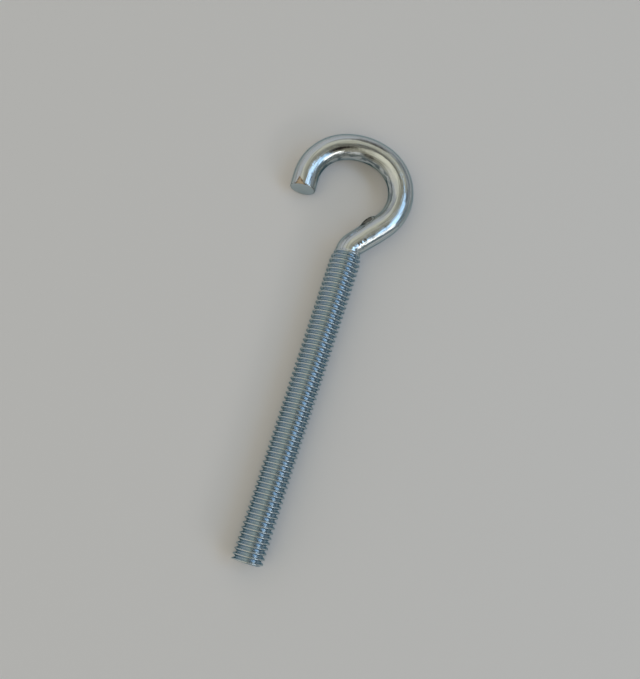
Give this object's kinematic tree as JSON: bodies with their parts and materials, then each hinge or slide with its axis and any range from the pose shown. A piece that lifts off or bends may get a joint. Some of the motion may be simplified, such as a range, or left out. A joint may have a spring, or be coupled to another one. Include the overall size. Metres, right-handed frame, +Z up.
{
  "type": "screw hook",
  "caption": "Zinc-plated steel screw hook: a fully threaded shank, bent at the neck into an open round loop that things hang from.",
  "frame": {"origin": "on the thread's axis, where the thread meets the bare rod", "axes": "+Y along the thread's axis towards the hook, +X towards the side that the neck bends to, +Z up from the surface that the hook lies on"},
  "size_m": [0.0312, 0.1098, 0.0078],
  "materials": {
    "zinc_plate": "bright blue-white zinc plate"
  },
  "bodies": {
    "root": {"screw_hook": "zinc_plate"}
  },
  "joints": []
}
